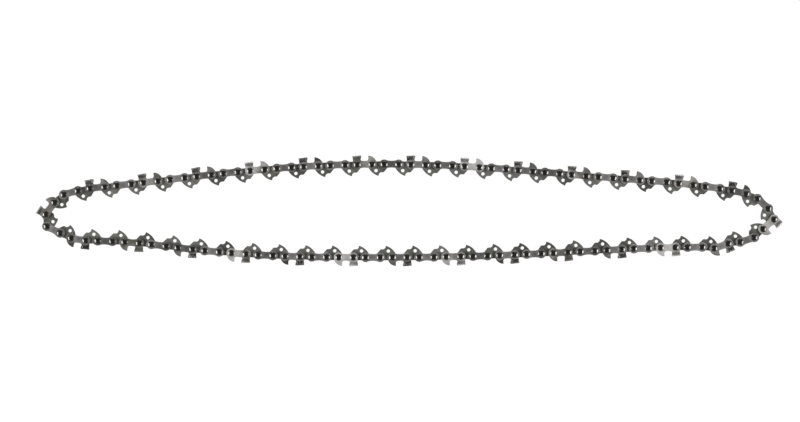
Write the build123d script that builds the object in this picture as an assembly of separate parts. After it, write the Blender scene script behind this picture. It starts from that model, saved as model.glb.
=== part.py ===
from build123d import *
from math import atan2, cos, hypot, radians, sin, tan
import os

# A saw chain loop that lies on its side: sizes in millimetres, angles in degrees.
# X runs along the loop, Y across it and Z up, from the surface that it lies on.

# The loop
drive_link_count = 56
outer_rivet_spacing = 10.2
drive_rivet_spacing = 8.43

# Side plates: the tie straps, and the lower half of every cutter
plate_thickness = 1.15
plate_end_radius = 3.35
plate_back_dip = 0.95
plate_foot_dip = 1.1

# Drive links
gauge = 1.3
drive_end_radius = 3.4
drive_back_dip = 1.4
tang_depth = 8.0
tang_tip_forward = 4.15
tang_tip_width = 0.5
tang_trailing_angle = 225
tang_trailing_bulge = 0.85
tang_leading_angle = -39
hook_hollow = 0.5
hook_root_forward = 6.2
shoulder_forward = 8.2
shoulder_depth = 5.6
shoulder_round = 0.8
tang_hole_forward = 2.8
tang_hole_depth = 4.4
tang_hole_radius = 1.15

# Rivets
hub_radius = 2.2
shank_radius = 1.6
head_radius = 2.35
head_height = 0.75
head_flat_radius = 0.5

# Cutters: the tooth stands on the rear rivet and the depth gauge on the front one
neck_rear = -2.95
neck_front = 2.55
neck_height = 3.3
neck_overlap = 0.6
tooth_rear = -3.4
tooth_front = 3.2
tooth_height = 6.4
tooth_top_relief = 0.5
tooth_side_relief = 0.35
tooth_filing_angle = 30
flare_reach = 3.2
flare_height = 5.2
corner_round = 0.15
top_plate_edge = 2.3
top_plate_overhang = 1.3
top_plate_thickness = 0.85
top_plate_inner_corner = 1.6
flare_inner_height = 4.1
gullet_height = 2.4
gullet_radius = 1.5
gauge_peak_forward = 7.75
gauge_peak_height = 6.1
gauge_front_angle = -5
gauge_front_bulge = 1.8

# Fits
hinge_clearance = 0.07
side_clearance = 0.06
rivet_clearance = 0.02

# How the loop lies: the heading of each link, going round it clockwise from above.
# At the two ends, a side plate's heading and its drive link's take turns.
left_end_headings = [-189.6, -204.6, -206.9, -264.0, -306.3, -319.1, -345.0, -348.7]
right_end_headings = [-13.8, -22.0, -43.4, -62.0, -138.9, -136.5, -161.8, -173.5, -160.9, -186.1]
# The two long runs bow gently: these headings are evenly spaced along each run.
back_run_headings = [6.0, 7.0, 5.5, 2.2, -1.0, -4.2, -5.0, -4.0, -9.0]
front_run_headings = [-179.5, -177.0, -177.2, -178.6, -179.8, -180.9, -184.0, -187.5, -181.0]
# The first side plate is the third of the left end's four.
left_end_lead = 4
# The drive links most askew to the side plates behind them are nodes of their own: this many of them.
separate_drive_links = 4

plate_inner_face = gauge / 2 + side_clearance
plate_outer_face = plate_inner_face + plate_thickness
shank_hole_radius = shank_radius + rivet_clearance
hub_hole_radius = hub_radius + hinge_clearance


def dip(span, edge_height, depth):
    """A disc that hollows a straight edge between two rivets by the given depth."""
    radius = (span / 2) ** 2 / (2 * depth) + depth / 2
    return Pos(span / 2, edge_height - depth + radius) * Circle(radius)


def link_blank(span, end_radius):
    """Two round ends about the rivets, joined by straight edges."""
    return Pos(span / 2, 0) * SlotCenterToCenter(span, 2 * end_radius)


def rivet_holes(span, radius):
    """A hole at each of a link's two rivets."""
    return Circle(radius) + Pos(span, 0) * Circle(radius)


def round_end_point(span, end_radius, angle):
    """A point on the round end about a rivet."""
    return (span + end_radius * cos(radians(angle)), end_radius * sin(radians(angle)))


def side_plate(outline):
    """A plate of the given outline on the upper side of the drive links."""
    outline -= mirror(dip(outer_rivet_spacing, plate_end_radius, plate_foot_dip), about=Plane.XZ)
    outline -= rivet_holes(outer_rivet_spacing, shank_hole_radius)
    return Pos(0, 0, plate_inner_face) * extrude(outline, plate_thickness)


def tie_strap():
    """The plain side plate: round ends, a waist on the back and an arch between its feet."""
    outline = link_blank(outer_rivet_spacing, plate_end_radius)
    outline -= dip(outer_rivet_spacing, plate_end_radius, plate_back_dip)
    return side_plate(outline)


def tang():
    """The hooked lower part of a drive link, which runs in the groove of the guide bar."""
    trailing = round_end_point(0, drive_end_radius, tang_trailing_angle)
    tip = (tang_tip_forward, -tang_depth)
    hook = (tang_tip_forward + tang_tip_width, -tang_depth)
    root = (hook_root_forward, -shoulder_depth)
    shoulder = (shoulder_forward, -shoulder_depth)
    leading = round_end_point(drive_rivet_spacing, drive_end_radius, tang_leading_angle)
    edges = SagittaArc(trailing, tip, -tang_trailing_bulge)
    edges += Line(tip, hook)
    edges += SagittaArc(hook, root, hook_hollow)
    edges += Polyline(root, shoulder, leading, trailing)
    outline = make_face(edges)
    corner = outline.vertices().sort_by_distance(shoulder)[0]
    return fillet(corner, shoulder_round)


def drive_link():
    """The centre link, with its tang, lightening hole and two holes that turn on the rivets' hubs."""
    outline = link_blank(drive_rivet_spacing, drive_end_radius)
    outline -= dip(drive_rivet_spacing, drive_end_radius, drive_back_dip)
    outline += tang()
    outline -= rivet_holes(drive_rivet_spacing, hub_hole_radius)
    outline -= Pos(tang_hole_forward, -tang_hole_depth) * Circle(tang_hole_radius)
    return extrude(outline, gauge / 2, both=True)


def rivet():
    """Hub, two shanks and two domed heads, turned as one piece."""
    hub_end = plate_inner_face - rivet_clearance
    head_start = plate_outer_face + rivet_clearance
    head_end = head_start + head_height
    dome_drop = (head_radius**2 - head_flat_radius**2 - head_height**2) / (2 * head_height)
    dome_radius = hypot(head_radius, dome_drop)
    dome_angle = (atan2(head_radius, dome_drop) + atan2(head_flat_radius, dome_drop + head_height)) / 2
    dome_middle = (dome_radius * sin(dome_angle), head_start - dome_drop + dome_radius * cos(dome_angle))
    upper = Polyline(
        (0, 0),
        (hub_radius, 0),
        (hub_radius, hub_end),
        (shank_radius, hub_end),
        (shank_radius, head_start),
        (head_radius, head_start),
    )
    upper += ThreePointArc((head_radius, head_start), dome_middle, (head_flat_radius, head_end))
    upper += Polyline((head_flat_radius, head_end), (0, head_end), (0, 0))
    half = make_face(upper)
    profile = half + mirror(half, about=Plane.XZ)
    return Rot(90, 0, 0) * revolve(profile, Axis.Y)


def depth_gauge():
    """The ramp ahead of the gullet: a steep back and a rounded slope down to the front end."""
    peak = (gauge_peak_forward, gauge_peak_height)
    front = round_end_point(outer_rivet_spacing, plate_end_radius, gauge_front_angle)
    edges = SagittaArc(peak, front, gauge_front_bulge)
    edges += Polyline(front, (outer_rivet_spacing, 0), (neck_front, 0), (neck_front, gauge_peak_height), peak)
    return make_face(edges)


def gullet():
    """The hollow between the tooth and the depth gauge, rounded at the bottom."""
    width = gauge_peak_forward - neck_front
    depth = gauge_peak_height - gullet_height
    corner = (neck_front, gullet_height)
    opening = Pos(*corner) * Rectangle(width, 2 * depth, align=(Align.MIN, Align.MIN))
    opening = fillet(opening.vertices().sort_by_distance(corner)[0], neck_height - gullet_height)
    return fillet(opening.vertices().sort_by_distance((gauge_peak_forward, gullet_height))[0], gullet_radius)


def tooth_section(place, reach, height):
    """A slice across the tooth: the side plate flares outwards and folds over to the top plate."""
    underside = height - top_plate_thickness
    foot = neck_height - neck_overlap
    edges = Polyline((plate_outer_face, foot), (plate_outer_face, neck_height), (reach, flare_height))
    edges += SagittaArc((reach, flare_height), (top_plate_edge, height), -corner_round)
    edges += Polyline(
        (top_plate_edge, height),
        (-top_plate_overhang, height),
        (-top_plate_overhang, underside),
        (top_plate_inner_corner, underside),
        (plate_inner_face, flare_inner_height),
        (plate_inner_face, foot),
        (plate_outer_face, foot),
    )
    across = Plane(origin=(place, 0, 0), x_dir=(0, 0, 1), z_dir=(-1, 0, 0))
    return across * make_face(edges)


def tooth():
    """The cutting tooth: highest and widest at its filed front edge, with relief towards the rear."""
    front = tooth_section(tooth_front, flare_reach, tooth_height)
    rear = tooth_section(tooth_rear, flare_reach - tooth_side_relief, tooth_height - tooth_top_relief)
    body = loft([front, rear], ruled=True)
    foot = neck_height - neck_overlap
    side_view = make_face(
        Polyline(
            (neck_rear, foot),
            (neck_front, foot),
            (neck_front, neck_height),
            (tooth_front, tooth_height),
            (tooth_rear, tooth_height),
            (neck_rear, neck_height),
            (neck_rear, foot),
        )
    )
    body &= extrude(side_view, 2 * flare_reach, both=True)
    filing_run = 2 * flare_reach * tan(radians(tooth_filing_angle))
    filed = make_face(
        Polyline(
            (tooth_front, flare_reach),
            (tooth_front + filing_run, flare_reach),
            (tooth_front + filing_run, -flare_reach),
            (tooth_front - filing_run, -flare_reach),
            (tooth_front, flare_reach),
        )
    )
    return body - Rot(90, 0, 0) * extrude(filed, -tooth_height)


def right_cutter():
    """Side plate, depth gauge and tooth in one piece, on the upper side of the loop."""
    neck = Pos(neck_rear, 0) * Rectangle(neck_front - neck_rear, neck_height, align=(Align.MIN, Align.MIN))
    outline = link_blank(outer_rivet_spacing, plate_end_radius) + neck + depth_gauge() - gullet()
    return side_plate(outline) + tooth()


def spread(stations, count):
    """Evenly spaced headings, drawn out to the given number of links by straight interpolation."""
    headings = []
    for index in range(count):
        place = index / (count - 1) * (len(stations) - 1)
        step = min(int(place), len(stations) - 2)
        rise = stations[step + 1] - stations[step]
        headings.append(stations[step] + rise * (place - step))
    return headings


def walk(headings, lengths):
    """The rivet at which each link starts, and last the point where the loop ends."""
    points = [(0, 0)]
    for heading, length in zip(headings, lengths):
        x, y = points[-1]
        points.append((x + length * cos(radians(heading)), y + length * sin(radians(heading))))
    return points


def close_loop(headings, lengths):
    """Turns the links by as little as it takes to bring the end of the loop to its start."""
    for _ in range(8):
        gap_x, gap_y = walk(headings, lengths)[-1]
        across = [-length * sin(radians(turn)) for turn, length in zip(headings, lengths)]
        along = [length * cos(radians(turn)) for turn, length in zip(headings, lengths)]
        xx = sum(value**2 for value in across)
        yy = sum(value**2 for value in along)
        xy = sum(a * b for a, b in zip(across, along))
        share = xx * yy - xy**2
        pull_x = (gap_x * yy - gap_y * xy) / share
        pull_y = (gap_y * xx - gap_x * xy) / share
        turned = []
        for heading, a, b in zip(headings, across, along):
            turned.append(heading - (a * pull_x + b * pull_y) / radians(1))
        headings = turned
    return headings


def loop_layout():
    """The heading and first rivet of every link: side plates and drive links take turns."""
    end_links = (len(left_end_headings) + len(right_end_headings)) // 2
    back_links = (drive_link_count - end_links + 1) // 2
    front_links = drive_link_count - end_links - back_links
    headings = [heading + 360 for heading in left_end_headings[left_end_lead:]]
    headings += spread(back_run_headings, 2 * back_links)
    headings += right_end_headings
    headings += spread(front_run_headings, 2 * front_links)
    headings += left_end_headings[:left_end_lead]
    lengths = [outer_rivet_spacing, drive_rivet_spacing] * drive_link_count
    headings = close_loop(headings, lengths)
    return headings, walk(headings, lengths)


strap_above = tie_strap()
strap_below = mirror(strap_above, about=Plane.XY)
cutter_above = right_cutter()
cutter_below = mirror(cutter_above, about=Plane.XY)
centre_link = drive_link()
link_rivet = rivet()

headings, rivets = loop_layout()
skews = [abs(headings[2 * link + 1] - headings[2 * link]) for link in range(drive_link_count)]
separate = sorted(range(drive_link_count), key=lambda link: -skews[link])[:separate_drive_links]

nodes = {}
for link in range(drive_link_count):
    plate_place = Location((*rivets[2 * link], 0), (0, 0, headings[2 * link]))
    drive_place = Location((*rivets[2 * link + 1], 0), (0, 0, headings[2 * link + 1]))
    if link % 4 == 0:
        name = f"right_cutter_link_{link // 4 + 1:02d}"
        plates = [cutter_above, strap_below]
    elif link % 4 == 2:
        name = f"left_cutter_link_{link // 4 + 1:02d}"
        plates = [strap_above, cutter_below]
    else:
        name = f"strap_link_{link // 2 + 1:02d}"
        plates = [strap_above, strap_below]
    pieces = [plate_place * plate for plate in plates]
    pieces += [plate_place * link_rivet, plate_place * Pos(outer_rivet_spacing, 0) * link_rivet]
    drive_piece = drive_place * centre_link
    if link in separate:
        nodes[f"drive_link_{link + 1:02d}"] = [drive_piece]
    else:
        pieces.append(drive_piece)
    nodes[name] = pieces

# The origin is the middle of the loop, on the surface that it lies on.
box = Compound([piece for pieces in nodes.values() for piece in pieces]).bounding_box()
to_origin = Pos(-box.center().X, -box.center().Y, -box.min.Z)

os.makedirs("parts", exist_ok=True)
for name, pieces in nodes.items():
    export_step(Compound([to_origin * piece for piece in pieces]), f"parts/{name}.step")
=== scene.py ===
# %% [markdown]
# # A loop of saw chain
# The chain lies on its side on a pale table and is seen straight from above, so the flat sides of its links show.
# We load the measured model first. It says where every link lies and which link hinges on which.
# Everything that we make below is a better-looking skin for those same links, in metres and in the same place.

# %% Load the chain
from math import acos, atan2, cos, degrees, hypot, radians, sin, sqrt, tan

import bmesh
import bpy
import numpy as np
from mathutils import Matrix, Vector
from mathutils.geometry import tessellate_polygon


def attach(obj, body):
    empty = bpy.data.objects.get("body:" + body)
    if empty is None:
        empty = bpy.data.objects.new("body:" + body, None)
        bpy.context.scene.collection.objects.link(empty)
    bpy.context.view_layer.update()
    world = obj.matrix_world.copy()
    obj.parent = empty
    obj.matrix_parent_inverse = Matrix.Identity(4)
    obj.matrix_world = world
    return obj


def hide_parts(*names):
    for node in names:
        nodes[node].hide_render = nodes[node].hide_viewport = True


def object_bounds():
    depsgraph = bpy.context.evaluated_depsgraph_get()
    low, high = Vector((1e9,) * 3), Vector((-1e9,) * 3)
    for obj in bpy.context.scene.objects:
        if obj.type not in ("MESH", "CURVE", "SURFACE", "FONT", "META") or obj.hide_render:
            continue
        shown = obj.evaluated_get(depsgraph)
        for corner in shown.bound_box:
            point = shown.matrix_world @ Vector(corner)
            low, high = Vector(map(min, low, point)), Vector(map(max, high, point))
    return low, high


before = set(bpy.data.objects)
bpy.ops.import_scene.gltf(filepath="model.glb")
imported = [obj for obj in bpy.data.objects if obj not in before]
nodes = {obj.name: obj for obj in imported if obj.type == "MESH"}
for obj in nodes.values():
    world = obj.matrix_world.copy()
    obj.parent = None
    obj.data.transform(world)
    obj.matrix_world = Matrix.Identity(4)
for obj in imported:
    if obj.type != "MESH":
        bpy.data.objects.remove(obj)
cad_low, cad_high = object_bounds()
mid_height = (cad_low.z + cad_high.z) / 2
per_metre = 1000
cad_size = [round(per_metre * side, 2) for side in cad_high - cad_low]
print("links and loose drive links:", len(nodes), "box in mm:", cad_size)

# %% [markdown]
# ## Where the rivets are
# Two rivets go through every outer link, and they are all we need to place it.
# We could type in 112 places by hand, but the loaded model knows them: a rivet's head ends in a small flat spot.
# Nothing else on that side of a link is as high, so the corners of the two flat spots are easy to pick out.

# %% Find every link's two rivets
link_count = sum(not name.startswith("drive_link") for name in nodes)


def link_name(link):
    """Round the loop come a right cutter, a strap link, a left cutter and a strap link, over and over."""
    if link % 4 == 0:
        return f"right_cutter_link_{link // 4 + 1:02d}"
    if link % 4 == 2:
        return f"left_cutter_link_{link // 4 + 1:02d}"
    return f"strap_link_{link // 2 + 1:02d}"


flat_slack, flat_reach = 1e-5, 0.003


def rivet_places(name):
    """The middles of the two flat spots, looked for on the side that has no tooth."""
    mesh = nodes[name].data
    corners = np.empty(3 * len(mesh.vertices))
    mesh.vertices.foreach_get("co", corners)
    corners = corners.reshape(-1, 3)
    height = corners[:, 2] * (-1 if name.startswith("right") else 1)
    flats = np.unique(corners[height > height.max() - flat_slack][:, :2].round(7), axis=0)
    first = np.hypot(*(flats - flats[0]).T) < flat_reach
    return [Vector(flats[first].mean(axis=0)), Vector(flats[~first].mean(axis=0))]


places = [rivet_places(link_name(link)) for link in range(link_count)]
rear_rivets, front_rivets = [], []
for link, (one, other) in enumerate(places):
    ahead = places[(link + 1) % link_count]
    if min((one - place).length for place in ahead) < min((other - place).length for place in ahead):
        one, other = other, one
    rear_rivets.append(one)
    front_rivets.append(other)
spacing = sum((b - a).length for a, b in zip(rear_rivets, front_rivets)) / link_count
print("outer links:", link_count, "rivet spacing in mm:", round(per_metre * spacing, 3))

# %% [markdown]
# ## Outlines
# Side plates and drive links are stamped from sheet steel, so each begins as a flat outline with holes.
# An outline is a list of points: arcs about a middle, and shallow bows between two points.
# We go round with the metal on the left. A bow to the left then hollows the edge, and one to the right swells it.
# Sizes are in millimetres, because these are small parts, and the places are measured from the rear rivet.

# %% Draw arcs and bows
def arc(middle, radius, start, end, steps):
    """Points along an arc about a middle, from one angle to another, with both ends."""
    angles = [radians(start + (end - start) * step / steps) for step in range(steps + 1)]
    return [Vector((middle[0] + radius * cos(angle), middle[1] + radius * sin(angle))) for angle in angles]


def bow(start, end, rise, steps):
    """Points between two points, on an arc that rises to the left of the straight line, without its ends."""
    start, end = Vector(start), Vector(end)
    half = (end - start) / 2
    left = Vector((-half.y, half.x)).normalized()
    radius = (half.length_squared / rise + rise) / 2
    middle = start + half + left * (rise - radius)
    side = radius / abs(radius)
    points = []
    for step in range(1, steps):
        along = half * (2 * step / steps - 1)
        points.append(middle + along + left * side * sqrt(radius**2 - along.length_squared))
    return points


link_span = 10.2
drive_span = 8.43
end_radius = 3.35
foot_dip, back_dip = 1.1, 0.95
foot_arch = bow((0, -end_radius), (link_span, -end_radius), foot_dip, 6)
strap_outline = arc((link_span, 0), end_radius, -90, 90, 10)
strap_outline += bow((link_span, end_radius), (0, end_radius), back_dip, 6)
strap_outline += arc((0, 0), end_radius, 90, 270, 10) + foot_arch
print("points round a strap:", len(strap_outline))

# %% [markdown]
# ## Drive link and cutter
# The centre links carry a hooked tang, which runs in the groove of the guide bar and sweeps oil along it.
# The round hole in the tang is open, so we see through it.
# A cutter's side plate has a neck for the tooth, a gullet for the chips, and the depth gauge,
# which sets how deep the tooth bites.

# %% Draw the drive link and the cutter's side plate
drive_end, drive_dip = 3.4, 1.4
leading_angle, trailing_angle = -39, 225
tang_tip, hook_tip, hook_root = (4.15, -8.0), (4.65, -8.0), (6.2, -5.6)
tang_swell, hook_hollow = 0.85, 0.5
shoulder, shoulder_round, shoulder_angle = (7.82, -4.8), 0.8, -39.7
drive_outline = arc((drive_span, 0), drive_end, leading_angle, 90, 8)
drive_outline += bow((drive_span, drive_end), (0, drive_end), drive_dip, 6)
drive_outline += arc((0, 0), drive_end, 90, trailing_angle, 8)
drive_outline += bow(drive_outline[-1], tang_tip, -tang_swell, 6) + [Vector(tang_tip), Vector(hook_tip)]
drive_outline += bow(hook_tip, hook_root, hook_hollow, 5) + [Vector(hook_root)]
drive_outline += arc(shoulder, shoulder_round, -90, shoulder_angle, 4)
hub_hole, tang_hole, shank_hole = 2.27, 1.15, 1.62
tang_eye = (2.8, -4.4)
drive_holes = [arc((0, 0), hub_hole, 0, 345, 15), arc((drive_span, 0), hub_hole, 0, 345, 15)]
drive_holes.append(arc(tang_eye, tang_hole, 0, 342, 15))

neck_rear, neck_front, neck_height = -2.95, 2.55, 3.3
gauge_peak, gauge_angle, gauge_bulge = (7.75, 6.1), -5, 1.8
gullet, gullet_round = (6.25, 3.9), 1.5
throat, throat_round = (3.45, 3.3), 0.9
cutter_outline = arc((link_span, 0), end_radius, -90, gauge_angle, 5)
cutter_outline += bow(cutter_outline[-1], gauge_peak, -gauge_bulge, 9) + [Vector(gauge_peak)]
cutter_outline += arc(gullet, gullet_round, 0, -90, 6) + arc(throat, throat_round, 270, 180, 4)
cutter_outline += [Vector((neck_rear, neck_height))]
neck_turn = degrees(acos(neck_rear / end_radius))
cutter_outline += arc((0, 0), end_radius, neck_turn, 270, 8) + foot_arch
rivet_holes = [arc((0, 0), shank_hole, 0, 330, 11), arc((link_span, 0), shank_hole, 0, 330, 11)]
print("points round a drive link and a cutter:", len(drive_outline), len(cutter_outline))

# %% [markdown]
# ## Stamped plates
# A stamped plate is tumbled in a barrel until its rims are soft, and those rims catch the light as thin bright lines.
# A bevel modifier could round them, but then the finish couldn't tell a rim from a face.
# So we build the rounded rim ourselves, ring by ring: each ring is the outline moved a little into the metal.

# %% Move a ring into the metal
least_turn = 0.4


def counter_clockwise(ring):
    """The ring itself, or turned round if it runs the other way."""
    turn = sum(a.x * b.y - b.x * a.y for a, b in zip(ring, ring[1:] + ring[:1]))
    return ring if turn > 0 else ring[::-1]


def shrink(ring, depth):
    """The ring moved to its left, into the metal on an outline and on a hole alike, but not far at a sharp corner."""
    moved = []
    for before, here, after in zip(ring[-1:] + ring[:-1], ring, ring[1:] + ring[:1]):
        into, out = (here - before).normalized(), (after - here).normalized()
        left = Vector((-into.y - out.y, into.x + out.x))
        moved.append(here + left * depth / max(1 + into.dot(out), least_turn))
    return moved


border = 0.38
inside = shrink(counter_clockwise(strap_outline), border)
inside_length = max(point.x for point in inside) - min(point.x for point in inside)
print("length of a strap inside its border in mm:", round(inside_length, 2))

# %% [markdown]
# ## Plates with soft rims
# Rings at six heights make the rounded rim, and at each corner we note how rubbed it is.
# Inside the rim runs a narrow border of painted shade, which darkens the plate along its edges: it gets a ring of
# faces too.
# A shell is kept as plain lists until it is finished: points, faces, the wear and painted shade at each face's
# corners, and which faces are round.

# %% Build a plate with soft rims
# Below zero, a corner's value is painted shade: the border inside the rim is darkened by it.
rim_wear, side_wear, painted_border_shade = 0.7, 0.35, -0.7


def stamped(outline, holes, bottom, top, soft):
    """A plate between two heights, with its holes, a border of painted shade and rims that are rounded by the given
    radius.
    """
    rings = [counter_clockwise(outline)] + [counter_clockwise(hole)[::-1] for hole in holes]
    rise = (1 - sqrt(0.5)) * soft
    levels = [(soft, bottom, 0), (rise, bottom + rise, rim_wear), (0, bottom + soft, side_wear)]
    levels += [(0, top - soft, side_wear), (rise, top - rise, rim_wear), (soft, top, 0)]
    points, faces, worn, smooth = [], [], [], []
    lower, upper, flat_rings = [], [], []
    for ring in rings:
        start, count = len(points), len(ring)
        for depth, height, _ in levels:
            points += [(x, y, height) for x, y in shrink(ring, depth)]
        for level in range(len(levels) - 1):
            corner_wear_and_shade = [levels[level][2]] * 2 + [levels[level + 1][2]] * 2
            for corner in range(count):
                a = start + level * count + corner
                b = start + level * count + (corner + 1) % count
                faces.append((a, b, b + count, a + count))
                worn.append(corner_wear_and_shade)
                smooth.append(True)
        low_ring = list(range(start, start + count))
        high_ring = list(range(len(points) - count, len(points)))
        flat = shrink(ring, soft)
        if ring is rings[0]:
            flat = shrink(ring, soft + border)
            low_inner = list(range(len(points), len(points) + count))
            high_inner = list(range(len(points) + count, len(points) + 2 * count))
            points += [(x, y, bottom) for x, y in flat] + [(x, y, top) for x, y in flat]
            for corner in range(count):
                ahead = (corner + 1) % count
                faces.append((high_ring[corner], high_ring[ahead], high_inner[ahead], high_inner[corner]))
                faces.append((low_ring[ahead], low_ring[corner], low_inner[corner], low_inner[ahead]))
                # The border's outer corners carry painted shade.
                worn += [[painted_border_shade, painted_border_shade, 0, 0]] * 2
                smooth += [False] * 2
            low_ring, high_ring = low_inner, high_inner
        lower += low_ring
        upper += high_ring
        flat_rings.append([(x, y, 0) for x, y in flat])
    for a, b, c in tessellate_polygon(flat_rings):
        one, two, three = (Vector(points[upper[corner]]) for corner in (a, b, c))
        if (two - one).cross(three - one).z < 0:
            b, c = c, b
        faces += [(upper[a], upper[b], upper[c]), (lower[a], lower[c], lower[b])]
        worn += [[0.0] * 3] * 2
        smooth += [False] * 2
    return points, faces, worn, smooth


plate_inner, plate_outer, half_gauge = 0.71, 1.86, 0.65
strap_rim, drive_rim, cutter_rim = 0.16, 0.14, 0.14
strap_above = stamped(strap_outline, rivet_holes, plate_inner, plate_outer, strap_rim)
drive_link = stamped(drive_outline, drive_holes, -half_gauge, half_gauge, drive_rim)
cutter_plate = stamped(cutter_outline, rivet_holes, plate_inner, plate_outer, cutter_rim)
for label, shell in (("strap", strap_above), ("drive link", drive_link), ("cutter plate", cutter_plate)):
    print("faces of a", label, len(shell[1]))

# %% [markdown]
# ## The tooth
# A cutter's side plate flares outwards and folds over into a top plate: in cross-section it is a hook.
# The front is filed at an angle, so that one corner leads, and the underside is filed hollow to make a sharp edge.
# Towards the rear the tooth gets lower and narrower, which lets it bite.
# Its foot is a hair thinner than the plate, so that the two never share a face.

# %% Draw the tooth's two cross-sections
tooth_front, tooth_rear, tooth_height = 3.2, -3.4, 6.4
flare_reach, flare_height, top_edge, corner_round = 3.2, 5.2, 2.3, 0.15
side_relief, top_relief = 0.35, 0.5
overhang, top_thickness, inner_corner, inner_height = 1.3, 0.85, 1.6, 4.1
tooth_foot, foot_top, foot_in = 2.7, 3.4, 0.03
foot_outside, foot_inside = plate_outer - foot_in, plate_inner + foot_in
filing_angle, filed_hollow = 30, 0.45
section_points, hollow_points, relief_rounds = range(12), (7, 8, 9), 3


def tooth_section(relief):
    """The hook across the tooth, as (across, up), with less reach and height the more relief it has."""
    reach, height = flare_reach - side_relief * relief, tooth_height - top_relief * relief
    underside = height - top_thickness
    fold = bow((reach, flare_height), (top_edge, height), -corner_round, 3)
    section = [(foot_outside, tooth_foot), (foot_outside, neck_height), (reach, flare_height)]
    section += [tuple(point) for point in fold] + [(top_edge, height), (-overhang, height)]
    section += [(-overhang, underside), (inner_corner, underside), (foot_inside, inner_height)]
    return section + [(foot_inside, foot_top), (foot_inside, tooth_foot)]


def tooth_ring(front):
    """One cross-section of the tooth, at its filed front or its rear: each point's relief depends on where it lies."""
    ring = []
    for place in section_points:
        relief = 0.0 if front else 1.0
        for _ in range(relief_rounds):
            across, up = tooth_section(relief)[place]
            lean = max(0.0, (up - neck_height) / (tooth_height - neck_height))
            if front:
                filed = tooth_front - (flare_reach - across) * tan(radians(filing_angle))
                along = min(neck_front + (tooth_front - neck_front) * lean, filed)
                along -= filed_hollow if place in hollow_points else 0.0
            else:
                along = neck_rear + (tooth_rear - neck_rear) * lean
            relief = (tooth_front - along) / (tooth_front - tooth_rear)
        ring.append((along, up, across))
    return ring


print("height of the tooth at its rear in mm:", round(max(up for _, up, _ in tooth_ring(False)), 2))

# %% [markdown]
# ## Skin and bevel
# Faces between the two cross-sections make the tooth a closed shell, and its sharp edges get small bevels.
# Bevelled faces come in no fixed order, so we sort them, and every run gives the same mesh.
# A face's normal tells us which way it looks, and so whether it gets painted shade.

# %% Build the tooth
bevel_angle, bevel_width = 28, 0.09
tooth_rub, tooth_painted_shade = 0.55, -0.9
looks_in, looks_down, looks_along = -0.3, -0.5, 0.6


def tooth():
    """The tooth as a closed shell: its bevels are rubbed, and its front, its rear, its inside and its underside get
    painted shade.
    """
    shape = bmesh.new()
    front = [shape.verts.new(point) for point in tooth_ring(True)]
    rear = [shape.verts.new(point) for point in tooth_ring(False)]
    count = len(front)
    for corner in range(count):
        ahead = (corner + 1) % count
        shape.faces.new((front[corner], front[ahead], rear[ahead], rear[corner]))
    shape.faces.new(front[::-1])
    shape.faces.new(rear)
    bmesh.ops.recalc_face_normals(shape, faces=shape.faces)
    sharp = [edge for edge in shape.edges if edge.calc_face_angle(0) > radians(bevel_angle)]
    made = bmesh.ops.bevel(shape, geom=sharp, offset=bevel_width, segments=1, affect="EDGES", clamp_overlap=True)
    rims = set(made["faces"])
    bmesh.ops.triangulate(shape, faces=[face for face in shape.faces if len(face.verts) > 4])
    corners = sorted(shape.verts, key=lambda corner: tuple(corner.co))
    for place, corner in enumerate(corners):
        corner.index = place
    points = [tuple(corner.co) for corner in corners]
    faces, worn = [], []
    for face in sorted(shape.faces, key=lambda face: sorted(corner.index for corner in face.verts)):
        faces.append(tuple(corner.index for corner in face.verts))
        ahead, up, out = face.normal
        # Faces turned inwards, downwards, forwards and backwards get painted shade.
        in_painted_shade = out < looks_in or up < looks_down or abs(ahead) > looks_along
        corner_wear_and_shade = tooth_rub if face in rims else tooth_painted_shade if in_painted_shade else 0.0
        worn.append([corner_wear_and_shade] * len(face.verts))
    shape.free()
    return points, faces, worn, [False] * len(faces)


cutter_tooth = tooth()
print("faces of a tooth:", len(cutter_tooth[1]))

# %% [markdown]
# ## Rivets
# A rivet is turned on a lathe: a thick hub for the drive links, thinner shanks for the side plates,
# and heads that are spun round. We turn the same profile here, in fourteen steps.
# There are 112 of them, so each one has few faces.

# %% Turn a rivet
def turned(profile, steps):
    """A closed shell turned about the rivet's axis, from its lower flat spot to its upper one."""
    points, faces, worn, smooth = [], [], [], []
    for radius, height, _ in profile:
        points += [(p.x, p.y, height) for p in arc((0, 0), radius, 0, 360 - 360 / steps, steps - 1)]
    for level in range(len(profile) - 1):
        for step in range(steps):
            a = level * steps + step
            b = level * steps + (step + 1) % steps
            faces.append((a, b, b + steps, a + steps))
            worn.append([profile[level][2]] * 2 + [profile[level + 1][2]] * 2)
            smooth.append(True)
    last = len(points) - steps
    faces += [tuple(range(steps))[::-1], tuple(range(last, last + steps))]
    worn += [[0.0] * steps] * 2
    smooth += [True] * 2
    return points, faces, worn, smooth


head_start, head_height, head_radius, head_flat = 1.88, 0.75, 2.35, 0.5
dome_drop = (head_radius**2 - head_flat**2 - head_height**2) / (2 * head_height)
dome_radius = hypot(head_radius, dome_drop)
rivet_steps, dome_steps = 14, 3
# Each step's third value is the painted sheen of the head, 1 at the rim and 0 at the flat spot.
dome = []
for level in range(dome_steps + 1):
    radius = head_radius + (head_flat - head_radius) * level / dome_steps
    height = head_start - dome_drop + sqrt(dome_radius**2 - radius**2)
    dome.append((radius, height, 1 - level / dome_steps))
hub_radius, hub_end, shank_radius = 2.2, 0.69, 1.6
half_rivet = [(hub_radius, hub_end, 0.0), (shank_radius, hub_end, 0.0), (shank_radius, head_start, 0.0)] + dome
lower_half = [(radius, -height, corner_wear_and_shade) for radius, height, corner_wear_and_shade in half_rivet[::-1]]
rivet = turned(lower_half + half_rivet, rivet_steps)
print("faces of a rivet:", len(rivet[1]))

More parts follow.
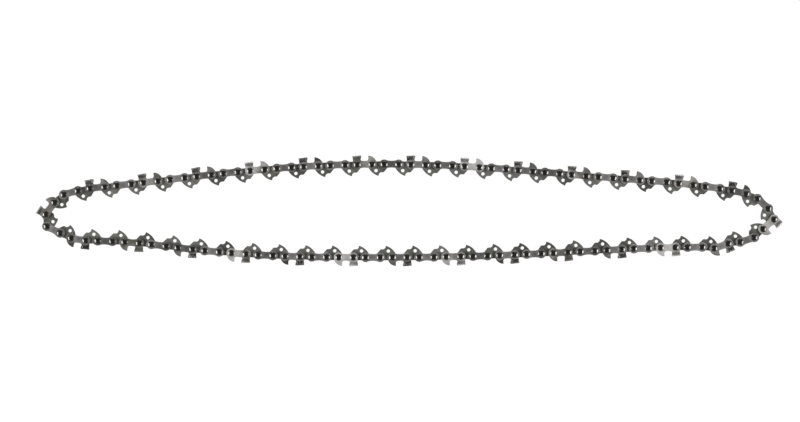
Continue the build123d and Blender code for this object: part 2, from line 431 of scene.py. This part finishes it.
# %% [markdown]
# ## Pattern pieces
# Each shell now becomes a mesh object to copy from. Two things travel with it for the finishes to read:
# `spot`, every point's own place on its piece in millimetres, and `worn`, how much of the finish is rubbed off there,
# and on a rivet's head how much painted sheen it gets.
# Below zero, `worn` is painted shade instead: the plates' borders, and the front, rear, inside and underside of a
# tooth.
# The lower side of the chain is the upper side mirrored.
# Mirrored faces have to be turned round to face outwards again.

# %% Make the pattern pieces
crease_angle = 50


def joined(*shells):
    """Several shells as one."""
    points, faces, worn, smooth = [], [], [], []
    for more_points, more_faces, more_worn, more_smooth in shells:
        start = len(points)
        points += more_points
        faces += [tuple(start + corner for corner in face) for face in more_faces]
        worn += more_worn
        smooth += more_smooth
    return points, faces, worn, smooth


def turned_over(shell):
    """The shell mirrored to the lower side of the chain, with its faces outwards."""
    points, faces, worn, smooth = shell
    points = [(x, y, -z) for x, y, z in points]
    return points, [face[::-1] for face in faces], [corner_wear_and_shade[::-1] for corner_wear_and_shade in worn], smooth


def pattern(name, shell):
    """A mesh object to copy from, at the origin."""
    points, faces, worn, smooth = shell
    mesh = bpy.data.meshes.new(name)
    mesh.from_pydata([(x / per_metre, y / per_metre, z / per_metre) for x, y, z in points], [], faces)
    mesh.polygons.foreach_set("use_smooth", smooth)
    spots = np.array(points).ravel()
    wears = [value for corner_wear_and_shade in worn for value in corner_wear_and_shade]
    mesh.attributes.new("spot", "FLOAT_VECTOR", "POINT").data.foreach_set("vector", spots)
    mesh.attributes.new("worn", "FLOAT", "CORNER").data.foreach_set("value", wears)
    mesh.set_sharp_from_angle(angle=radians(crease_angle))
    thing = bpy.data.objects.new(name, mesh)
    bpy.context.scene.collection.objects.link(thing)
    return thing


cutter_above = joined(cutter_plate, cutter_tooth)
patterns = {
    "strap_above": pattern("strap_above", strap_above),
    "strap_below": pattern("strap_below", turned_over(strap_above)),
    "cutter_above": pattern("cutter_above", cutter_above),
    "cutter_below": pattern("cutter_below", turned_over(cutter_above)),
    "drive_link": pattern("drive_link", drive_link),
    "rivet": pattern("rivet", rivet),
}
print("pattern pieces:", {name: len(thing.data.polygons) for name, thing in patterns.items()})

# %% [markdown]
# ## Writing shader sums
# A finish is a small network of nodes. Sums are easier to read as sums, so a `Wire` stands for one node's output.
# Adding or multiplying wires puts the Math node in for us, and `node` puts in anything else.
# The Mix node has a set of sockets for each kind of value, all with the same names, so we pick its sockets by number.

# %% Wires and finishes
mix_amount, mix_first, mix_second, mix_colour = 0, 6, 7, 2


class Wire:
    """One output in a finish's network."""

    def __init__(self, finish, socket):
        self.finish = finish
        self.socket = socket

    def sum(self, operation, first, second):
        """A Math node that works on two wires or numbers."""
        return self.finish.node("ShaderNodeMath", {"operation": operation}, {0: first, 1: second})

    def __add__(self, other):
        return self.sum("ADD", self, other)

    def __radd__(self, other):
        return self.sum("ADD", other, self)

    def __sub__(self, other):
        return self.sum("SUBTRACT", self, other)

    def __rsub__(self, other):
        return self.sum("SUBTRACT", other, self)

    def __mul__(self, other):
        return self.sum("MULTIPLY", self, other)


class Finish:
    """A finish for one kind of steel: a material and its network of nodes."""

    def __init__(self, name):
        self.material = bpy.data.materials.new(name)
        self.material.use_nodes = True
        self.tree = self.material.node_tree
        self.shader = self.tree.nodes["Principled BSDF"]

    def feed(self, node, sockets):
        """Link wires to a node's sockets, and set the other sockets to plain values."""
        for key, value in sockets.items():
            if isinstance(value, Wire):
                self.tree.links.new(value.socket, node.inputs[key])
            else:
                node.inputs[key].default_value = value

    def node(self, kind, settings, sockets, output=0):
        """Put in a node, and give back the wire that leaves it."""
        node = self.tree.nodes.new(kind)
        for key, value in settings.items():
            setattr(node, key, value)
        self.feed(node, sockets)
        return Wire(self, node.outputs[output])

    def noise(self, size, detail, seed):
        """Cloudy noise between 0 and 1, in patches of about the given size in millimetres."""
        place = self.node("ShaderNodeTexCoord", {}, {}, "Object")
        shift = (seed, 2 * seed, 3 * seed)
        shifted = self.node("ShaderNodeVectorMath", {"operation": "ADD"}, {0: place, 1: shift})
        sockets = {"Vector": shifted, "Scale": per_metre / size, "Detail": detail}
        return self.node("ShaderNodeTexNoise", {}, sockets, "Fac")

    def ramp(self, value, low, high):
        """0 where the value is low, 1 where it is high, and smooth between."""
        settings = {"interpolation_type": "SMOOTHSTEP"}
        return self.node("ShaderNodeMapRange", settings, {"Value": value, "From Min": low, "From Max": high})

    def mix(self, amount, first, second):
        """From one colour to another."""
        first, second = (value if isinstance(value, Wire) else (*value, 1) for value in (first, second))
        sockets = {mix_amount: amount, mix_first: first, mix_second: second}
        return self.node("ShaderNodeMix", {"data_type": "RGBA"}, sockets, mix_colour)

    def spot(self, axis):
        """How far along one axis of its own piece a point is, in millimetres."""
        spot = self.node("ShaderNodeAttribute", {"attribute_name": "spot"}, {}, "Vector")
        return self.node("ShaderNodeSeparateXYZ", {}, {"Vector": spot}, axis)

    def near(self, place, radius, fade):
        """1 within a radius of a place on the piece, in millimetres, seen along the rivets."""
        spot = self.node("ShaderNodeAttribute", {"attribute_name": "spot"}, {}, "Vector")
        flat = self.node("ShaderNodeVectorMath", {"operation": "MULTIPLY"}, {0: spot, 1: (1, 1, 0)})
        away = self.node("ShaderNodeVectorMath", {"operation": "DISTANCE"}, {0: flat, 1: (*place, 0)}, "Value")
        return 1 - self.ramp(away, radius, radius + fade)

    def worn(self):
        """How rubbed a point is, or on a rivet's head how much painted sheen; below zero, how much painted shade."""
        return self.node("ShaderNodeAttribute", {"attribute_name": "worn"}, {}, "Fac")


print("a finish can make:", [name for name in vars(Finish) if not name.startswith("_")])

# %% [markdown]
# ## Steel finishes
# All the pieces are steel, but no two kinds look the same. Drive links are dark and oily, straps are lightly blued,
# cutters have a thin satin chrome, and rivet heads are polished by the tool that spins them, with a painted sheen
# towards the rim that leaves them darkest in the middle.
# Each finish is cloudy from link to link, bright and smoother where its rims are rubbed,
# and darkened by painted shade: a painted contact shadow round the rivets, and painted shade along the borders,
# between the side plates and in the cutters' folds.
# The clouds blend its first two tones. The third is the tone of a rubbed rim.

# %% Mix the finishes of the plates
# The first colour is a painted contact shadow round the rivets; the second darkens the painted shade and the straps'
# stain.
painted_shadow_black, stain_and_shade_brown = (0.012, 0.012, 0.011), (0.02, 0.02, 0.018)
cloud_size, patch_size, grain_size = 26, 5, 0.35
cloud_share, patch_share, grain_share = 0.6, 0.28, 0.12
first_until, second_from = 0.38, 0.62
rivet_shadow_reach, rivet_shadow_fade = 2.5, 0.7
bump_depth = 0.00002


def plate_steel(name, tones, metal, roughness, span, rivet_shadow_strength, stain_and_shade_mask, seed):
    """Tumbled sheet steel: cloudy tones, rubbed rims, a painted contact shadow round the rivets, painted shade on its
    borders and tooth faces, and the piece's own mask of painted shade and stain.
    """
    finish = Finish(name)
    first, second, rubbed = tones
    cloud = finish.noise(cloud_size, 1, seed)
    patch = finish.noise(patch_size, 3, seed + 1)
    grain = finish.noise(grain_size, 2, seed + 2)
    blend = cloud * cloud_share + patch * patch_share + grain * grain_share
    tone = finish.ramp(blend, first_until, second_from)
    face = finish.mix(tone, first, second)
    # Painted contact shadow: a dark ring round each rivet.
    rivet_shadow = finish.near((0, 0), rivet_shadow_reach, rivet_shadow_fade) + finish.near((span, 0), rivet_shadow_reach, rivet_shadow_fade)
    face = finish.mix(rivet_shadow * rivet_shadow_strength * (0.6 + patch * 0.6), face, painted_shadow_black)
    worn = finish.worn()
    # Painted shade: the piece's own mask, and the border and tooth faces whose value is below zero; on straps the mask
    # is a faint stain.
    stain_and_painted_shade = stain_and_shade_mask(finish) + finish.ramp(0 - worn, 0.1, 0.9) * 0.8
    face = finish.mix(stain_and_painted_shade * (0.7 + patch * 0.4), face, stain_and_shade_brown)
    rub = finish.ramp(worn * (0.55 + patch * 0.9), 0.45, 0.95)
    colour = finish.mix(rub, face, rubbed)
    gloss = roughness + (patch - 0.5) * 0.16 + (grain - 0.5) * 0.1 + stain_and_painted_shade * 0.15 - rub * 0.1
    relief = {"Strength": 0.22, "Distance": bump_depth, "Height": grain + patch * 0.6}
    bump = finish.node("ShaderNodeBump", {}, relief)
    finish.feed(finish.shader, {"Base Color": colour, "Roughness": gloss, "Metallic": metal, "Normal": bump})
    return finish


def drive_painted_shade(finish):
    """Painted shade on what lies between the side plates."""
    return finish.ramp(finish.spot(1), -3.4, -2.4) * 0.2


def strap_grime(finish):
    """A faint stain half way between the rivets."""
    return finish.near((link_span / 2, 0), 0.8, 2.0) * 0.3


def cutter_painted_shade(finish):
    """Painted shade on the inner face, and in the fold where the tooth rises from the side plate."""
    depth = finish.node("ShaderNodeMath", {"operation": "ABSOLUTE"}, {0: finish.spot(2)})
    inner = 1 - finish.ramp(depth, plate_inner + 0.02, plate_inner + 0.3)
    up = finish.spot(1)
    fold = finish.ramp(up, 2.8, 3.2) * (1 - finish.ramp(up, 3.5, 4.0))
    on_tooth = 1 - finish.ramp(finish.spot(0), 2.8, 3.6)
    return fold * on_tooth * 0.15 + inner * 0.6


drive_tones = (0.13, 0.13, 0.117), (0.28, 0.28, 0.256), (0.45, 0.45, 0.42)
strap_tones = (0.175, 0.174, 0.163), (0.43, 0.416, 0.416), (0.58, 0.57, 0.56)
cutter_tones = (0.74, 0.72, 0.69), (0.16, 0.15, 0.128), (0.75, 0.74, 0.72)
# Every plate finish gets a painted contact shadow round its rivets; drive links and cutters get painted shade, straps
# a faint stain.
drive_steel = plate_steel(
    "dark_oiled_steel", drive_tones, metal=0.45, roughness=0.42, span=drive_span, rivet_shadow_strength=0.2, stain_and_shade_mask=drive_painted_shade, seed=3.1
)
strap_steel = plate_steel(
    "blued_steel", strap_tones, metal=0.45, roughness=0.36, span=link_span, rivet_shadow_strength=0.2, stain_and_shade_mask=strap_grime, seed=7.7
)
cutter_steel = plate_steel(
    "satin_chrome", cutter_tones, metal=0.3, roughness=0.36, span=link_span, rivet_shadow_strength=0.2, stain_and_shade_mask=cutter_painted_shade, seed=17.5
)
print("finishes of the plates:", [finish.material.name for finish in (drive_steel, strap_steel, cutter_steel)])

# %% [markdown]
# ## Polished rivets
# A rivet's head is dark and polished, so what we see in it is mostly the lights.
# Its `worn` runs from 1 at the rim to 0 at the flat spot, and blends in a painted sheen, so the ring round the head is
# painted lighter than its middle.

# %% Mix the finish of the rivets
core_dark, core_pale, painted_rim_sheen = (0.08, 0.077, 0.072), (0.15, 0.146, 0.14), (0.145, 0.142, 0.136)
scuff_size = 1.2
rivet_steel = Finish("polished_steel")
scuff = rivet_steel.noise(scuff_size, 3, 17.9)
# Painted sheen: the head is painted lighter towards its rim.
rim_sheen_mask = rivet_steel.ramp(rivet_steel.worn(), 0.3, 0.75)
head_tone = rivet_steel.mix(scuff, core_dark, core_pale)
rivet_tone = rivet_steel.mix(rim_sheen_mask * (0.7 + scuff * 0.3), head_tone, painted_rim_sheen)
rivet_bump = rivet_steel.node("ShaderNodeBump", {}, {"Strength": 0.12, "Distance": bump_depth, "Height": scuff})
rivet_gloss = 0.14 + scuff * 0.16
rivet_sockets = {"Base Color": rivet_tone, "Roughness": rivet_gloss, "Metallic": 1.0, "Normal": rivet_bump}
rivet_steel.feed(rivet_steel.shader, rivet_sockets)
print("finish of the rivets:", rivet_steel.material.name)

# %% [markdown]
# ## One tree for every link
# All 56 links are put together in the same way, so Geometry Nodes do it: two plates, a rivet at each end,
# and the drive link ahead.
# The tree has named inputs for what differs: the places, the headings and the pattern pieces.
# Rivets are copied to the two points of a short line.
# They are made real at the end, because copies don't leave the file.

# %% Build the link tree
link_tree = bpy.data.node_groups.new("chain_link", "GeometryNodeTree")
link_tree.interface.new_socket(name="Geometry", in_out="OUTPUT", socket_type="NodeSocketGeometry")
link_inputs = {}
for label, kind in (
    ("Rear Rivet", "Vector"),
    ("Heading", "Float"),
    ("Rivet Spacing", "Float"),
    ("Front Rivet", "Vector"),
    ("Drive Heading", "Float"),
    ("Upper Plate", "Object"),
    ("Lower Plate", "Object"),
    ("Rivet", "Object"),
    ("Drive Link", "Object"),
    ("Upper Finish", "Material"),
    ("Lower Finish", "Material"),
    ("Rivet Finish", "Material"),
    ("Drive Finish", "Material"),
):
    socket = link_tree.interface.new_socket(name=label, in_out="INPUT", socket_type=f"NodeSocket{kind}")
    link_inputs[label] = socket.identifier
given = link_tree.nodes.new("NodeGroupInput").outputs


def step(kind, settings, sockets, output=0):
    """One node of the link tree, with its settings and its sockets' values or links."""
    node = link_tree.nodes.new(kind)
    for key, value in settings.items():
        setattr(node, key, value)
    for key, value in sockets.items():
        if isinstance(value, bpy.types.NodeSocket):
            link_tree.links.new(value, node.inputs[key])
        else:
            node.inputs[key].default_value = value
    return node.outputs[output]


def finished(shape, finish):
    """The shape with one of the given finishes."""
    return step("GeometryNodeSetMaterial", {}, {"Geometry": shape, "Material": given[finish]})


def placed(shape, place, heading):
    """The shape turned to a given heading and moved to a given place."""
    turn = step("ShaderNodeCombineXYZ", {}, {"Z": given[heading]})
    return step("GeometryNodeTransform", {}, {"Geometry": shape, "Translation": given[place], "Rotation": turn})


def copied(thing):
    """The mesh of one of the given pattern pieces."""
    return step("GeometryNodeObjectInfo", {"transform_space": "ORIGINAL"}, {"Object": given[thing]}, "Geometry")


line_step = step("ShaderNodeCombineXYZ", {}, {"X": given["Rivet Spacing"]})
line = step("GeometryNodeMeshLine", {"mode": "OFFSET"}, {"Count": 2, "Offset": line_step})
pair = step("GeometryNodeInstanceOnPoints", {}, {"Points": line, "Instance": copied("Rivet")})
pair = finished(step("GeometryNodeRealizeInstances", {}, {"Geometry": pair}), "Rivet Finish")
outer = link_tree.nodes.new("GeometryNodeJoinGeometry")
upper = finished(copied("Upper Plate"), "Upper Finish")
lower = finished(copied("Lower Plate"), "Lower Finish")
for part in (upper, lower, pair):
    link_tree.links.new(part, outer.inputs[0])
whole = link_tree.nodes.new("GeometryNodeJoinGeometry")
link_tree.links.new(placed(outer.outputs[0], "Rear Rivet", "Heading"), whole.inputs[0])
drive_ahead = finished(placed(copied("Drive Link"), "Front Rivet", "Drive Heading"), "Drive Finish")
link_tree.links.new(drive_ahead, whole.inputs[0])
link_tree.links.new(whole.outputs[0], link_tree.nodes.new("NodeGroupOutput").inputs[0])
print("nodes in the link tree:", len(link_tree.nodes))

# %% [markdown]
# ## Put the chain together
# Every link gets an empty mesh with the tree on it, and its own inputs.
# Four drive links move by themselves, so they get their own mesh.

# %% Set the inputs of every link
def heading(start, end):
    """The angle of the line from one rivet to another."""
    return atan2(end.y - start.y, end.x - start.x)


def start_piece(name, values):
    """An empty mesh with the link tree on it and the given inputs."""
    thing = bpy.data.objects.new(f"{name}_steel", bpy.data.meshes.new(f"{name}_steel"))
    bpy.context.scene.collection.objects.link(thing)
    modifier = thing.modifiers.new("chain_link", "NODES")
    modifier.node_group = link_tree
    for label, value in values.items():
        modifier[link_inputs[label]] = value
    return thing


pieces = {}
for link in range(link_count):
    name = link_name(link)
    rear, front = rear_rivets[link], front_rivets[link]
    following = rear_rivets[(link + 1) % link_count]
    above = "cutter" if name.startswith("right") else "strap"
    below = "cutter" if name.startswith("left") else "strap"
    drive = {
        "Front Rivet": (front.x, front.y, mid_height),
        "Drive Heading": heading(front, following),
        "Drive Link": patterns["drive_link"],
        "Drive Finish": drive_steel.material,
    }
    outer_link = {
        "Rear Rivet": (rear.x, rear.y, mid_height),
        "Heading": heading(rear, front),
        "Rivet Spacing": spacing,
        "Upper Plate": patterns[f"{above}_above"],
        "Lower Plate": patterns[f"{below}_below"],
        "Rivet": patterns["rivet"],
        "Upper Finish": (cutter_steel if above == "cutter" else strap_steel).material,
        "Lower Finish": (cutter_steel if below == "cutter" else strap_steel).material,
        "Rivet Finish": rivet_steel.material,
    }
    loose = f"drive_link_{link + 1:02d}"
    if loose in nodes:
        pieces[loose] = start_piece(loose, drive)
        pieces[name] = start_piece(name, outer_link)
    else:
        pieces[name] = start_piece(name, {**outer_link, **drive})
print("pieces:", len(pieces))

# %% [markdown]
# ## Plain meshes
# When all the inputs are set, Blender works the trees out once.
# We keep the results as plain meshes without the modifier, and the pattern pieces have done their work.

# %% Keep the results as plain meshes
bpy.context.view_layer.update()
graph = bpy.context.evaluated_depsgraph_get()
results = {}
for name, thing in pieces.items():
    worked_out = thing.evaluated_get(graph)
    results[name] = bpy.data.meshes.new_from_object(worked_out, preserve_all_data_layers=True, depsgraph=graph)
for name, thing in pieces.items():
    thing.modifiers.clear()
    thing.data = results[name]
for thing in patterns.values():
    bpy.data.objects.remove(thing)
print("faces in all:", sum(len(mesh.polygons) for mesh in results.values()))

# %% [markdown]
# ## Hang the pieces on the model
# Each piece rides on the body of the same name.
# It replaces that body's plain solids, which are hidden.

# %% Ride and replace
for name, thing in pieces.items():
    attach(thing, name)
    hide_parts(name)
print("pieces that ride:", len(pieces))

# %% [markdown]
# ## Table
# The photograph is a bright product picture: white all round and hardly a shadow.
# So the table glows softly, like a light table, and reflects only a little.

# %% Lay the table
table_half, table_drop = 4, -0.0001
table_mesh = bpy.data.meshes.new("table")
table_corners = [(table_half * x, table_half * y, table_drop) for x, y in ((-1, -1), (1, -1), (1, 1), (-1, 1))]
table_mesh.from_pydata(table_corners, [], [(0, 1, 2, 3)])
table = bpy.data.objects.new("table", table_mesh)
bpy.context.scene.collection.objects.link(table)
table_paint = Finish("white_table")
fleck_size, glow = 40, 0.94
table_dark, table_pale = (0.12, 0.12, 0.12), (0.14, 0.14, 0.14)
fleck = table_paint.noise(fleck_size, 2, 23.0)
table_tone = table_paint.mix(fleck, table_dark, table_pale)
table_paint.feed(table_paint.shader, {"Base Color": table_tone, "Roughness": 0.9})
table_paint.feed(table_paint.shader, {"Emission Color": (1, 1, 1, 1), "Emission Strength": glow})
table_mesh.materials.append(table_paint.material)
print("table:", table.name, "glow:", glow)

# %% [markdown]
# ## Lights
# The steel is dark because it mirrors a dark ceiling.
# Two soft lights, left and right, give every rivet its pair of bright crescents.
# Two longer ones, behind and in front, light the edges and the teeth.
# The list gives each one's place and size in metres, and its power in watts.

# %% Set the lights
for label, place, size, power in (
    ("left_light", (-1.1, -0.13, 0.67), (0.95, 0.27), 8.4),
    ("right_light", (1.1, -0.13, 0.67), (0.95, 0.27), 8.4),
    ("back_light", (0.0, 1.2, 0.44), (2.2, 0.3), 9.5),
    ("front_light", (0.0, -1.2, 0.44), (2.2, 0.3), 3.5),
):
    lamp = bpy.data.lights.new(label, "AREA")
    lamp.shape = "RECTANGLE"
    lamp.size, lamp.size_y = size
    lamp.energy = power
    light = bpy.data.objects.new(label, lamp)
    light.location = place
    light.rotation_euler = (-Vector(place)).to_track_quat("-Z", "Y").to_euler()
    light.visible_camera = False
    bpy.context.scene.collection.objects.link(light)

world = bpy.data.worlds.new("studio")
world.use_nodes = True
ceiling_tone = 0.14
ceiling = world.node_tree.nodes["Background"].inputs["Color"]
ceiling.default_value = (ceiling_tone, ceiling_tone, ceiling_tone, 1)
bpy.context.scene.world = world
bpy.context.scene.view_settings.view_transform = "Standard"

# %% [markdown]
# ## Camera
# The photograph looks straight down from far away, so the camera hangs high above with a long lens.
# The picture is about 555 mm wide at the chain, and its middle is a little left of the loop's.

# %% Hang the camera
lens, sensor, picture_width = 150.0, 36.0, 0.5552
camera_data = bpy.data.cameras.new("camera")
camera_data.lens = lens
camera_data.sensor_width = sensor
camera_data.sensor_fit = "HORIZONTAL"
camera = bpy.data.objects.new("camera", camera_data)
picture_middle = (-0.0067, -0.0001)
camera.location = (*picture_middle, mid_height + picture_width * lens / sensor)
bpy.context.scene.collection.objects.link(camera)
bpy.context.scene.camera = camera
print("camera height in m:", round(camera.location.z, 3))

# %% [markdown]
# ## Size
# The finished pieces are meant to fill the same box as the measured model.
